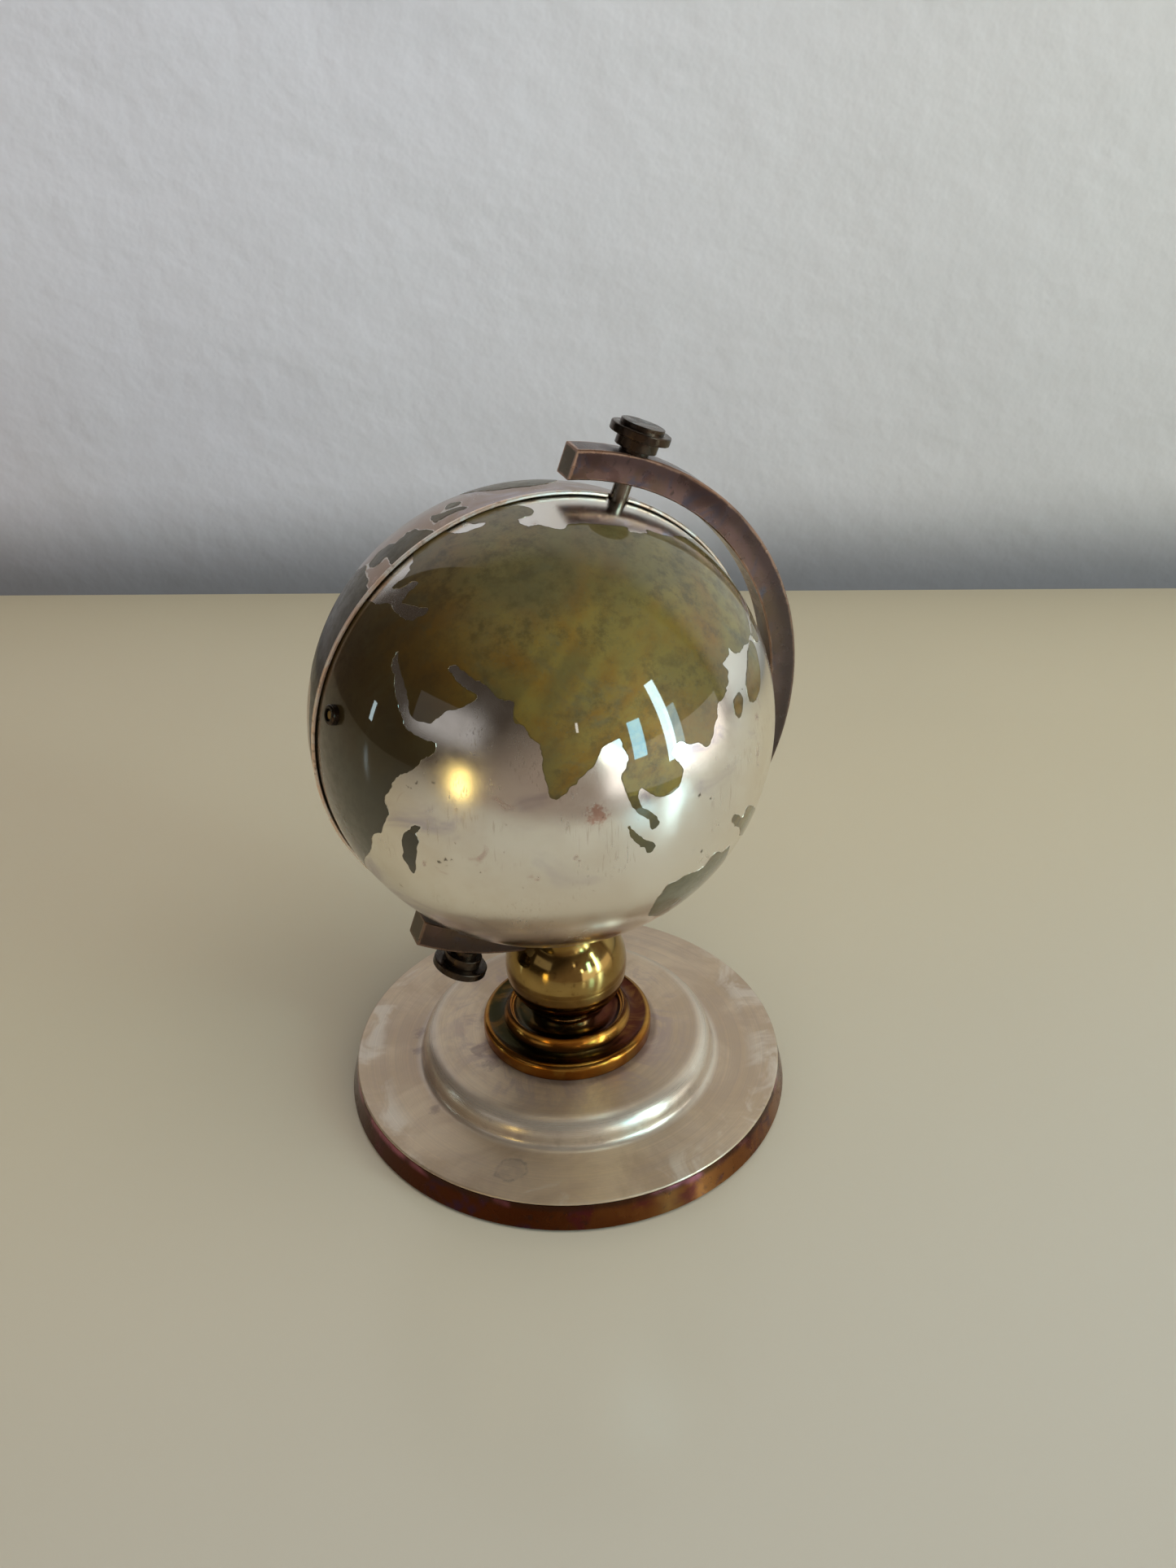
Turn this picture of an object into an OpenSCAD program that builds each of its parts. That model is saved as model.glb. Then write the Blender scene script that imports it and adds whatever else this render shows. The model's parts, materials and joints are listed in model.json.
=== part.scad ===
// Desktop globe on a turned stand. The globe is two nested half shells on tilted pole pins:
// the front shell rolls about the poles into the rear one, so the globe opens as a box.
// +Z is up, the origin is the middle of the base's underside, and the arm lies in the XZ plane.

/* [Globe] */
// Outer diameter of the rear half shell
globe_d = 100; // [90:1:106]
// Wall of both half shells
wall_t = 0.5; // [0.4:0.1:0.6]
// Radial space between the two nested shells
shell_gap = 0.2; // [0.15:0.05:0.3]
// How far the north pole leans towards +X, in degrees
lean = 20.4; // [15:0.1:24]
// Width of the bead round the rear shell's mouth
rim_w = 0.9; // [0.6:0.1:1.2]

/* [Meridian arm] */
// Radial space between the globe and the arm
arm_gap = 3.4; // [3:0.1:5]
// Radial thickness of the arm
arm_t = 6.1; // [5:0.1:7]
// Width of the arm
arm_w = 6; // [5:0.1:7]
// How far each end of the arm runs past the pole axis
arm_tail = 13.5; // [10:0.5:16]

/* [Thumbscrews] */
// Diameter of the pole pins
pin_d = 3.7; // [3:0.1:4]
// Diameter of the knob's main flange
knob_d = 12.6; // [11:0.1:14]

/* [Stem] */
// Diameter of the ball under the arm
ball_d = 29; // [27:0.5:30]
// How deep the arm sits in the ball's slot
arm_sink = 6.6; // [6.2:0.1:7]
// Sideways distance from the stem's axis to the globe's centre
globe_shift = 3.8; // [0:0.1:5]
// Diameter of the turned collar
collar_d = 41; // [38:0.5:44]

/* [Base] */
// Diameter of the silvered cover
base_d = 104; // [98:1:112]
// Height of the base's flat, above the table
base_h = 7.5; // [6.5:0.1:9]
// Diameter of the raised step
step_d = 71.2; // [66:0.2:74]
// Height of the raised step
step_h = 6.5; // [5.5:0.1:8]

/* [Hidden] */
$fn = 96;

// Clearances
fit = 0.05;          // running fit of the pins in the arm
loose = 0.08;        // pins in the shells and lugs
hair = 0.02;         // seats that don't move

// Globe shells
rear_r = globe_d / 2;
rear_in = rear_r - wall_t;
front_r = rear_in - shell_gap;
front_in = front_r - wall_t;
overlap_a = 2;       // degrees that the front shell tucks under the rear one, each side
ear_r = 5;           // round ear of the front shell at each pole
notch_r = 2.4;       // notch of the rear shell round each pin
rim_proud = 0.25;    // how far the mouth's bead stands out
far = 2 * globe_d;   // longer than the object, for cutters

// Lugs that carry the rear shell on the pins
lug_t = 1;
washer_t = 0.7;
washer_r = 4.2;
lug_out = front_in - shell_gap - washer_t;
lug_in = lug_out - lug_t;
lug_a = 172.5;       // azimuth of the lug's strap, just behind the mouth
lug_reach = 23;
lug_post_l = 3;
lug_post_w = 2;
lug_strap_w = 3.5;

// Arm
arm_in = rear_r + arm_gap;
arm_out = arm_in + arm_t;
arm_edge = 0.25;

// Thumbscrews, as heights above the arm
pin_r = pin_d / 2;
neck_r = 3.05;
upper_neck_h = 0.8;
lower_neck_h = 1.5;  // the lower knob stands a little further off the arm
step_r = 4.4;
collet_h = 2.3;
flange_h = 1.8;
cap_r = 4.6;
cap_h = 1;
knob_lift = 0.05;
pin_top = 3.6;
pin_tail = 1.2;      // how far the pin runs in past the lug

// Base
felt_t = 0.5;
cover_t = 0.8;
plate_top = base_h;
step_top = base_h + step_h;
wall_r = step_d / 2;
shoulder_r = 4.6;
cove_r = 1.8;
cover_edge = 0.4;
disc_flare = 1.5;

// Stem
screw_r = 2.5;
head_r = 4.6;
head_h = 3.6;
tie_r = 9;
tie_t = 1;
recess_r = 11;
recess_top = 7;
collar_z = step_top;
collar_r = collar_d / 2;
ring_z = collar_z + 5.9;
ring_h = 1;
ring_r = 7;
ball_z = ring_z + ring_h;
ball_r = ball_d / 2;
ball_c = ball_z + sqrt(ball_r * ball_r - 6.2 * 6.2);
ball_top = ball_c + ball_r;
arm_foot = ball_top - arm_sink;
globe_z = arm_foot + sqrt(arm_out * arm_out - globe_shift * globe_shift);

// Thumb button
button_az = 189.4;
button_lat = -2.5;
button_r = 2.1;
button_h = 1.4;
rivet_r = 0.8;

// Places its children in the globe's own frame: +Z is the north pole, +X the arm's middle
module globe_frame() {
  translate([-globe_shift, 0, globe_z]) rotate([0, lean, 0]) children();
}

// A rectangle with rounded corners, standing on y = 0 from x = x0 to x1
module rounded_band(x0, x1, h, r) {
  translate([x0, r]) square([x1 - x0, h - 2 * r]);
  translate([x0 + r, 0]) square([x1 - x0 - 2 * r, h]);
  for (x = [x0 + r, x1 - r], y = [r, h - r]) translate([x, y]) circle(r);
}

// A rectangle with chamfered corners, standing on y = 0 from x = x0 to x1
module chamfered_band(x0, x1, h, c) {
  polygon([
    [x0 + c, 0], [x1 - c, 0], [x1, c], [x1, h - c], [x1 - c, h], [x0 + c, h], [x0, h - c], [x0, c]
  ]);
}

// A turned disc with a rounded edge
module turned_disc(r, h, edge) {
  rotate_extrude() intersection() {
    rounded_band(-r, r, h, edge);
    square([2 * r, h]);
  }
}

// A ball's wall between two radii
module ball_wall(r_in, r_out) {
  difference() {
    sphere(r_out);
    sphere(r_in);
  }
}

// Half section of the base's top, sunk by d below the outer surface
module step_section(d, edge_r) {
  square([edge_r, plate_top - d]);
  square([wall_r - d, plate_top + cove_r]);
  square([wall_r - shoulder_r, step_top - d]);
  translate([wall_r - shoulder_r, step_top - shoulder_r]) circle(shoulder_r - d);
  square([wall_r - d, step_top - shoulder_r]);
  difference() {
    square([wall_r + cove_r, plate_top + cove_r]);
    translate([wall_r + cove_r, plate_top + cove_r]) circle(cove_r + d);
  }
}

module stem_hole(z0, z1) {
  translate([0, 0, z0]) cylinder(r = screw_r + hair, h = z1 - z0);
}

module felt_pad() {
  color("#3a4a38") cylinder(r = base_d / 2 - 1.5, h = felt_t);
}

module base_disc() {
  edge = base_d / 2;
  color("#7a4528") difference() {
    rotate_extrude() {
      polygon([
        [0, felt_t], [edge + disc_flare - 0.3, felt_t], [edge + disc_flare, felt_t + 0.3],
        [edge, plate_top - cover_t], [0, plate_top - cover_t]
      ]);
      intersection() {
        step_section(cover_t, edge);
        translate([0, plate_top - cover_t - 1]) square([edge - 1, step_h + 1]);
      }
    }
    translate([0, 0, -1]) cylinder(r = recess_r, h = recess_top + 1);
    stem_hole(0, step_top);
  }
}

module base_cover() {
  edge = base_d / 2;
  color("#cbbfb4") difference() {
    rotate_extrude() difference() {
      union() {
        step_section(0, edge - cover_edge);
        translate([edge - cover_edge, plate_top - cover_edge]) circle(cover_edge);
      }
      step_section(cover_t, base_d);
    }
    stem_hole(0, step_top + 1);
  }
}

module tie_washer() {
  color("#8a8a86") difference() {
    translate([0, 0, recess_top - tie_t]) cylinder(r = tie_r, h = tie_t);
    stem_hole(0, recess_top);
  }
}

module tie_screw() {
  head_z = recess_top - tie_t - head_h;
  color("#8a8a86") {
    translate([0, 0, head_z]) cylinder(r = head_r, h = head_h, $fn = 6);
    translate([0, 0, head_z + head_h]) cylinder(r = screw_r, h = arm_foot + 4 - head_z - head_h);
  }
}

// Section of the collar: a bold rim, a hollow ring, a raised lip and a dish inside the lip
module collar_section() {
  rim_h = 4.2;
  lip_r = 14.2;
  lip_h = 6.2;
  difference() {
    union() {
      rounded_band(0, collar_r, 2.8, 0.4);
      translate([0, 1]) rounded_band(0, collar_r, rim_h - 1, 1.5);
      square([collar_r - 1.5, rim_h]);
      square([lip_r + 0.85, lip_h]);
      translate([lip_r, lip_h]) circle(0.85);
      translate([lip_r + 0.9, rim_h + 0.7]) circle(0.75);
    }
    translate([17.4, rim_h + 3]) circle(3.5);
    translate([10.3, lip_h + 1.1]) circle(3.1);
    translate([ring_r, 5.9]) square([6.3, 2.2]);
    translate([-1, 5.9]) square([ring_r + 1.1, 3]);
    translate([-1, -1]) square([1, 10]);
  }
}

module stem_collar() {
  color("#a8752c") difference() {
    translate([0, 0, collar_z]) rotate_extrude() collar_section();
    stem_hole(0, ball_z);
  }
}

module neck_ring() {
  color("#b08a3c") difference() {
    translate([0, 0, ring_z]) turned_disc(ring_r, ring_h, 0.4);
    stem_hole(0, ball_z + 1);
  }
}

module stem_ball() {
  color("#b0903f") difference() {
    translate([0, 0, ball_c]) sphere(ball_r);
    translate([-far / 2, -far / 2, ball_z - far]) cube(far);
    stem_hole(0, ball_top);
    globe_frame() rotate([90, 0, 0]) cylinder(r = arm_out + hair, h = arm_w + 2 * hair, center = true);
  }
}

module meridian_arm() {
  color("#5f4644") difference() {
    globe_frame() difference() {
      rotate([90, 0, 0]) translate([0, 0, -arm_w / 2]) rotate_extrude()
        chamfered_band(arm_in, arm_out, arm_w, arm_edge);
      translate([-far - arm_tail, -far / 2, -far / 2]) cube(far);
      cylinder(r = pin_r + fit, h = far, center = true);
    }
    stem_hole(0, arm_foot + 4);
  }
}

// A thumbscrew's knob on the north pole
module pole_knob(neck_h) {
  z0 = arm_out + knob_lift;
  z1 = z0 + neck_h;
  z2 = z1 + collet_h;
  z3 = z2 + flange_h;
  difference() {
    union() {
      translate([0, 0, z0]) cylinder(r = neck_r, h = neck_h);
      translate([0, 0, z1]) turned_disc(step_r, collet_h, 0.15);
      translate([0, 0, z2]) turned_disc(knob_d / 2, flange_h, 0.3);
      translate([0, 0, z3 - 0.3]) turned_disc(cap_r, cap_h + 0.3, 0.15);
    }
    cylinder(r = pin_r + hair, h = arm_out + pin_top + hair);
  }
}

// A thumbscrew's plain pin on the north pole
module pole_pin() {
  tip = lug_in - pin_tail;
  translate([0, 0, tip + 0.4]) cylinder(r = pin_r, h = arm_out + pin_top - tip - 0.4);
  translate([0, 0, tip]) cylinder(r1 = pin_r - 0.4, r2 = pin_r, h = 0.4);
}

module upper_knob() {
  color("#3a322c") globe_frame() pole_knob(upper_neck_h);
}

module lower_knob() {
  color("#3a3c36") globe_frame() rotate([180, 0, 0]) pole_knob(lower_neck_h);
}

module upper_pin() {
  color("#5c5248") globe_frame() pole_pin();
}

module lower_pin() {
  color("#5c5248") globe_frame() rotate([180, 0, 0]) pole_pin();
}

module rear_shell() {
  color("#8d7b70") globe_frame() difference() {
    ball_wall(rear_in, rear_r);
    translate([-far / 2, rim_w - far, -far / 2]) cube(far);
    cylinder(r = notch_r, h = far, center = true);
  }
}

// The bead on the side of the mouth that side points to, -1 for -X and 1 for +X
module mouth_rim(side) {
  notch_angle = asin(notch_r / rear_r);
  globe_frame() rotate([-90, 0, 0]) rotate([0, 0, notch_angle - side * 90])
    rotate_extrude(angle = 180 - 2 * notch_angle)
      chamfered_band(rear_in, rear_r + rim_proud, rim_w, 0.2);
}

module rim_left() {
  color("#b08466") mouth_rim(-1);
}

module rim_right() {
  color("#b08466") mouth_rim(1);
}

// The lug that holds the rear shell on the north pin, under the front shell
module pole_lug() {
  difference() {
    union() {
      intersection() {
        ball_wall(lug_in, lug_out);
        union() {
          cylinder(r = ear_r, h = far);
          rotate([0, 0, lug_a]) translate([0, -lug_strap_w / 2, 0]) cube([lug_reach, lug_strap_w, far]);
        }
      }
      intersection() {
        ball_wall(lug_in, rear_in);
        rotate([0, 0, lug_a]) translate([lug_reach - lug_post_l, -lug_post_w / 2, 0])
          cube([lug_post_l, lug_post_w, far]);
      }
    }
    cylinder(r = pin_r + loose, h = far);
  }
}

// The friction washer between the lug and the front shell, on the north pin
module pole_washer() {
  difference() {
    intersection() {
      ball_wall(lug_out, lug_out + washer_t);
      cylinder(r = washer_r, h = far);
    }
    cylinder(r = pin_r + loose, h = far);
  }
}

module upper_lug() {
  color("#9a7a50") globe_frame() pole_lug();
}

module lower_lug() {
  color("#9a7a50") globe_frame() mirror([0, 0, 1]) pole_lug();
}

module upper_washer() {
  color("#c9c9c4") globe_frame() pole_washer();
}

module lower_washer() {
  color("#c9c9c4") globe_frame() mirror([0, 0, 1]) pole_washer();
}

// Turns +Z to the thumb button's own direction
module button_frame() {
  globe_frame() rotate([0, 0, button_az]) rotate([0, 90 - button_lat, 0]) children();
}

module front_shell() {
  color("#8a8450") difference() {
    globe_frame() difference() {
      ball_wall(front_in, front_r);
      rotate([0, 0, overlap_a]) rotate_extrude(angle = 180 - 2 * overlap_a)
        translate([ear_r, -far / 2]) square([far, far]);
      cylinder(r = pin_r + loose, h = far, center = true);
    }
    button_frame() cylinder(r = rivet_r + hair, h = far);
  }
}

module thumb_button() {
  color("#2e2a26") button_frame() difference() {
    translate([0, 0, front_r - 1]) turned_disc(button_r, button_h + 1, 0.4);
    sphere(front_r);
    translate([0, 0, front_r + button_h - 0.5]) cylinder(r = 1.3, h = 1);
    cylinder(r = rivet_r + hair, h = far);
  }
}

module button_rivet() {
  color("#a08870") button_frame() {
    translate([0, 0, front_in - 1.1]) turned_disc(1.8, 0.9, 0.3);
    translate([0, 0, front_in - 0.3]) cylinder(r = rivet_r, h = wall_t + button_h);
  }
}

felt_pad();
base_disc();
base_cover();
tie_washer();
tie_screw();
stem_collar();
neck_ring();
stem_ball();
meridian_arm();
upper_knob();
upper_pin();
lower_knob();
lower_pin();
rear_shell();
rim_left();
rim_right();
upper_lug();
lower_lug();
upper_washer();
lower_washer();
front_shell();
thumb_button();
button_rivet();
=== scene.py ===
"""Looks for a desk globe that is a box: two nested silvered half shells with etched lands, a
patinated meridian arm, a brass ball and collar, and a stepped silvered base with a copper rim."""

import json
import math

import bpy
import numpy as np
from mathutils import Matrix, Vector, noise
from mathutils.geometry import delaunay_2d_cdt
from mathutils.kdtree import KDTree


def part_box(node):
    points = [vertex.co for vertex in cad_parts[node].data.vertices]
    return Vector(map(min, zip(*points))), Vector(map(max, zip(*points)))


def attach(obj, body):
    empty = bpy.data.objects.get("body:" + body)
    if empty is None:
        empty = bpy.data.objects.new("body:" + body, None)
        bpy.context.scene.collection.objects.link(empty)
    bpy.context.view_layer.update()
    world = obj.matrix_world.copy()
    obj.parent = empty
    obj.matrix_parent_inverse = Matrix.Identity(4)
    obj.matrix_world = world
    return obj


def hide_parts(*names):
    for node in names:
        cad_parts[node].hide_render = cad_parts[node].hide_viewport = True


MM = 0.001
# Vector noise is seeded from the clock unless it is given a seed
noise.seed_set(1)
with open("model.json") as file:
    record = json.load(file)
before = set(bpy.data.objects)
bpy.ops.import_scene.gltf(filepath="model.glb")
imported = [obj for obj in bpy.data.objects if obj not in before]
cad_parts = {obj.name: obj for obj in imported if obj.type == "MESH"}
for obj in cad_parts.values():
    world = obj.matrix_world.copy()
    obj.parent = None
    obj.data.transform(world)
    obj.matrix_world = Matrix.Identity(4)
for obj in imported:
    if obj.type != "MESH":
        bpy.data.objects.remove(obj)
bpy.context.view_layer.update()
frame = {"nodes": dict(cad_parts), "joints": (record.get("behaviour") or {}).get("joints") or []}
SCENE = bpy.context.scene

# ---------------------------------------------------------------- the globe's own directions

ROLL = next(j for j in frame["joints"] if j["name"] == "shell_roll")
GLOBE = Vector(ROLL["pos_m"])
NORTH = Vector(ROLL["axis"]).normalized()
SIDE = Vector((0, 1, 0))
ARM_MID = SIDE.cross(NORTH)
FRONT_R = GLOBE.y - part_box("front_shell")[0].y
REAR_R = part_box("rear_shell")[1].y - GLOBE.y

WALL_T = 0.5 * MM
ETCH = 0.07 * MM
RIM_W = 0.9 * MM
EAR_R = 5 * MM
HOLE_R = 1.93 * MM
NOTCH_R = 2.4 * MM
TUCK = 2
MAP_START = 170


def on_globe(lon, lat):
    """Unit direction, in the row frame, of a place on the map."""
    az, lat = math.radians(lon + MAP_START), math.radians(lat)
    flat = ARM_MID * math.cos(az) + SIDE * math.sin(az)
    return flat * math.cos(lat) + NORTH * math.sin(lat)


# ---------------------------------------------------------------- coastlines, in degrees

OLD_WORLD = [
    (0, -45), (10, -52), (20, -49), (29, -40), (36.5, -31), (38, -26), (39.5, -23.5), (41.5, -22),
    (42.5, -18.5), (43.5, -15), (43, -14), (42, -12.5), (42, -11), (43, -9), (43.5, -6),
    (44.5, -4.5), (46.5, -2.5), (48, -0.5), (49, 2), (50, 3), (51, 4.5), (51, 5.5), (50.5, 6.5),
    (49.5, 6.5), (48.5, 6), (46, 6), (44, 6), (42, 6.5), (40.5, 8), (39, 9), (37.5, 10.5),
    (35.5, 12.5), (34, 14.5), (32, 16), (31, 18.5), (31.5, 19.5), (32.5, 18), (34.5, 16.5),
    (36, 15.5), (38, 14), (40, 12), (41, 11), (41.5, 10), (43, 9), (44.5, 9), (46.5, 9.5),
    (48, 10), (48.5, 11), (50, 13.5), (52.5, 15.5), (54.5, 17.5), (55.5, 19.5), (54, 20),
    (52, 20), (50, 20.5), (47.5, 21.5), (46, 22), (46.5, 23), (47.5, 23.5), (50, 23),
    (53, 22.5), (55.5, 22.5), (57.5, 22), (59.5, 21), (61, 21), (63.5, 21.5), (64, 21),
    (64.5, 19), (65.5, 17.5), (67.5, 17.5), (69, 16.5), (70, 15.5), (72, 15), (73, 13.5),
    (74, 12), (74.5, 10), (75.5, 8.5), (76.5, 7), (77.5, 5), (78.5, 4.5), (79.5, 4.5), (80, 5),
    (81, 6.5), (81.5, 8), (82.5, 9), (83, 10.5), (84, 12), (85, 13.5), (85.5, 15), (85.5, 16.5),
    (86, 18), (87, 19), (89.5, 20.5), (90.5, 19), (91.5, 18), (92.5, 17), (92.5, 15), (92, 13),
    (92.5, 11.5), (94, 9.5), (95.5, 7.5), (97, 6), (99, 5), (101.5, 4), (102, 3.5), (102.5, 2),
    (103.5, 1.5), (104, 2), (104.5, 3.5), (103, 5), (101, 6), (99, 6.5), (98, 7.5), (97, 9.5),
    (97, 10.5), (97.5, 11), (98.5, 10.5), (99.5, 10), (101.5, 9.5), (103.5, 9.5), (105.5, 10.5),
    (107, 12), (107.5, 14), (107.5, 15.5), (106.5, 17), (105, 18), (103.5, 19), (104, 21),
    (105.5, 22), (108, 21.5), (110.5, 22), (112, 21.5), (113.5, 21), (114.5, 21.5),
    (115.5, 23.5), (116, 26), (117, 28), (117, 29.5), (117.5, 31), (119, 31.5), (120, 32),
    (120.5, 32.5), (121.5, 33.5), (121, 34), (122.5, 35), (122.5, 36.5), (123.5, 37.5),
    (123, 38.5), (121.5, 39.5), (123.5, 40.5), (125.5, 41.5), (126.5, 43), (128, 42),
    (130.5, 41.5), (133.5, 42), (137, 43), (140, 43), (142, 43.5), (144.5, 44.5), (147, 44.5),
    (148.5, 46), (151, 47), (154, 49), (155.5, 51), (161, 52.5), (166, 52), (174, 51),
    (184, 54), (200, 57), (200, 65), (190, 66), (175, 69), (161.5, 71.5), (147.5, 73.5),
    (131.5, 74), (118.5, 75), (108.5, 76), (106.5, 74.5), (100.5, 74), (92.5, 73.5), (88, 73.5),
    (87, 75), (79, 74.5), (66, 72.5), (57.5, 71), (52.5, 69.5), (48, 67.5), (49, 66),
    (47.5, 65), (44, 64), (40.5, 63.5), (36, 62.5), (34, 61), (31, 60.5), (28.5, 60.5),
    (26, 61), (26, 62), (27.5, 64), (26.5, 65), (24.5, 66), (21.5, 66), (17.5, 65.5),
    (14, 64.5), (12.5, 63), (10, 61), (5, 59), (0, 57),
]
BALTIC = [
    (5, 45), (11.5, 47.5), (15, 48.5), (17, 50), (18, 52), (19, 54), (17.5, 55), (14.5, 53),
    (10.5, 52), (5, 50),
]
INNER_SEAS = [
    (5, 23), (13, 24), (15.5, 24.5), (18, 26), (20, 26.5), (22, 26), (24, 26), (27.5, 26),
    (30, 27), (30.5, 28), (32, 29.5), (31.5, 31), (29, 30), (26.5, 29.5), (23, 28.5),
    (22.5, 29.5), (22, 31.5), (22.5, 32.5), (22.5, 34), (21, 34), (20, 33.5), (19, 31.5),
    (18, 30.5), (16.5, 29.5), (15, 29.5), (15.5, 31), (16, 33), (15.5, 34.5), (15.5, 35),
    (14, 35.5), (12.5, 37), (5, 37),
]
FAR_PENINSULA = [
    (170, 50), (164, 49), (160, 48), (154, 47), (150, 45), (147, 44), (148, 43), (149, 42),
    (153, 42), (157, 44), (162, 45), (168, 46), (176, 48),
]
EAST_ISLE = [
    (144, 43.5), (146, 42), (146, 40.5), (145, 38.5), (144, 36.5), (142.5, 34.5), (140.5, 32.5),
    (138, 31), (135.5, 30), (133.5, 30), (132, 30.5), (131.5, 32.5), (131.5, 34.5),
    (133, 36.5), (135, 38.5), (137.5, 41), (140.5, 42.5),
]
SOUTH_ISLE = [
    (127, 33), (128.5, 31.5), (128.5, 30.5), (128, 29), (127, 27.5), (126, 27), (124.5, 28),
    (124, 29.5), (124, 31), (125.5, 32),
]
STRAIT_ISLE = [
    (97, 1.5), (97.5, 2), (98.5, 1), (100.5, 0), (102.5, -1), (104, -1.5), (105.5, -2),
    (106, -3.5), (105, -4.5), (104, -4), (103, -3), (102, -3), (100.5, -2), (98.5, -0.5),
    (97.5, 1),
]
LONG_ISLE = [
    (50, -15.5), (51, -14.5), (52.5, -14), (52, -15.5), (51.5, -16.5), (52.5, -18), (52.5, -20),
    (52.5, -22), (52.5, -24.5), (52.5, -27.5), (52, -29.5), (51, -29), (50, -27.5),
    (49, -26.5), (48.5, -25.5), (48.5, -23), (48, -21.5), (48, -20), (48.5, -18), (49.5, -16.5),
]
SOUTH_LAND = [
    (120, -27), (117.5, -22.5), (116.5, -19.5), (116.5, -16.5), (116.5, -14.5), (118.5, -13.5),
    (121, -12), (124.5, -11.5), (127, -10.5), (128, -8), (129.5, -6.5), (132.5, -7.5),
    (134.5, -7), (136, -6.5), (137.5, -8), (140, -11), (143, -14), (149, -18), (153, -25),
    (150, -32), (144, -36), (136, -33), (131, -31), (125, -29),
]
NORTH_OF_IT = [
    (130, 2), (130, 3.5), (131, 3.5), (133.5, 2.5), (135.5, 1.5), (136.5, 2), (136.5, 4),
    (139, 4), (144, 2), (149, -0.5), (152, -4), (150, -8), (146.5, -7), (141, -5),
    (139.5, -3.5), (137, -1.5), (134, -0.5), (131.5, 1),
]
TWIN_ISLE_A = [(172, -30), (176, -33), (179, -33), (178, -37), (174, -38), (173, -34)]
TWIN_ISLE_B = [(172, -39), (174, -41), (169, -46), (165, -47), (168, -43)]
ICE_CAP = [(lon, -74 - 4 * math.sin(math.radians(2.6 * lon))) for lon in range(-180, 180, 12)]

WEST_ISLE = [(-7.5, 49), (-11.5, 50), (-11, 51), (-8, 53), (-5, 52.5), (-5, 51), (-5.5, 49.5)]
WIDE_ISLE = [
    (-6, 45.5), (-4.5, 47), (-3.5, 48.5), (-3, 50), (-2.5, 52), (1, 54), (2, 53.5), (1.5, 52),
    (1, 50.5), (1.5, 48), (1.5, 47), (2, 46), (-1, 45.5),
]
WEST_COAST = [
    (18, 44), (8, 44.5), (4.5, 44), (2.5, 43), (0.5, 42), (-3, 41), (-3, 40), (-4.5, 39),
    (-3, 38), (-3, 36.5), (-2.5, 35.5), (-6, 33.5), (-6, 32.5), (-7, 30.5), (-5.5, 28.5),
    (-4.5, 27.5), (-2, 27.5), (0.5, 28.5), (1.5, 30), (1, 31.5), (2, 32.5), (4.5, 32.5),
    (7, 32.5), (9, 33), (9, 34.5), (18, 36),
]
WEST_BULGE = [
    (18, 19), (10.5, 20.5), (9.5, 22), (8, 24.5), (7.5, 25), (5.5, 25), (4.5, 26), (1.5, 26),
    (-1.5, 26), (-6, 26.5), (-9, 24.5), (-14, 21), (-18, 14), (-18, 7), (-12, 0), (-4, -3),
    (2, -5), (5, -12), (7, -22), (10, -32), (14, -42), (20, -40),
]
NORTH_ICE = [
    (-19, 56), (-12, 61), (-11, 65), (-11, 68), (-12, 70), (-20, 73), (-33, 74), (-50, 72),
    (-58, 66), (-52, 60), (-42, 53), (-33, 50), (-25, 52),
]
NEW_WORLD = [
    (-165, 58), (-157, 66), (-140, 68), (-125, 66), (-110, 66), (-95, 68), (-82, 66), (-85, 58),
    (-94, 56), (-90, 50), (-82, 48), (-79, 55), (-72, 58), (-65, 53), (-58, 46), (-66, 42),
    (-72, 37), (-76, 31), (-81, 26), (-80, 21), (-84, 25), (-90, 26), (-97, 23), (-97, 16),
    (-92, 14), (-88, 17), (-85, 11), (-80, 5), (-72, 9), (-62, 7), (-52, 2), (-42, -5),
    (-36, -10), (-38, -17), (-42, -27), (-50, -33), (-58, -40), (-65, -47), (-68, -56),
    (-74, -52), (-73, -42), (-71, -30), (-76, -18), (-81, -9), (-79, -2), (-79, 2), (-83, 4),
    (-90, 9), (-96, 12), (-105, 17), (-110, 25), (-116, 31), (-123, 37), (-125, 44),
    (-132, 51), (-142, 56), (-152, 54), (-162, 50),
]
ISLAND_ARC = [(-85, 21), (-78, 21), (-72, 18), (-77, 18)]

FRONT_LANDS = [
    OLD_WORLD, FAR_PENINSULA, EAST_ISLE, SOUTH_ISLE, STRAIT_ISLE, LONG_ISLE, SOUTH_LAND,
    NORTH_OF_IT, TWIN_ISLE_A, TWIN_ISLE_B, ICE_CAP,
]
FRONT_SEAS = [BALTIC, INNER_SEAS]
REAR_LANDS = [WEST_ISLE, WIDE_ISLE, WEST_COAST, WEST_BULGE, NORTH_ICE, NEW_WORLD, ISLAND_ARC, ICE_CAP]


# ---------------------------------------------------------------- etched half shells


def coast(outline, step=0.5, ragged=0.004):
    """A closed coastline as unit directions: a curve through the outline, with ragged detail."""
    p = [on_globe(*place) for place in outline]
    out = []
    for i, b in enumerate(p):
        a, c, d = p[i - 1], p[(i + 1) % len(p)], p[(i + 2) % len(p)]
        pieces = max(1, round(math.degrees(b.angle(c)) / step))
        for k in range(pieces):
            t = k / pieces
            q = 0.5 * (
                2 * b + (c - a) * t + (2 * a - 5 * b + 4 * c - d) * t * t
                + (3 * b - a - 3 * c + d) * t * t * t
            )
            q = q.normalized()
            q += (noise.noise_vector(q * 45) + noise.noise_vector(q * 130) * 0.7) * ragged
            q += noise.noise_vector(q * 310) * ragged * 0.45
            out.append(q.normalized())
    return out


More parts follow.
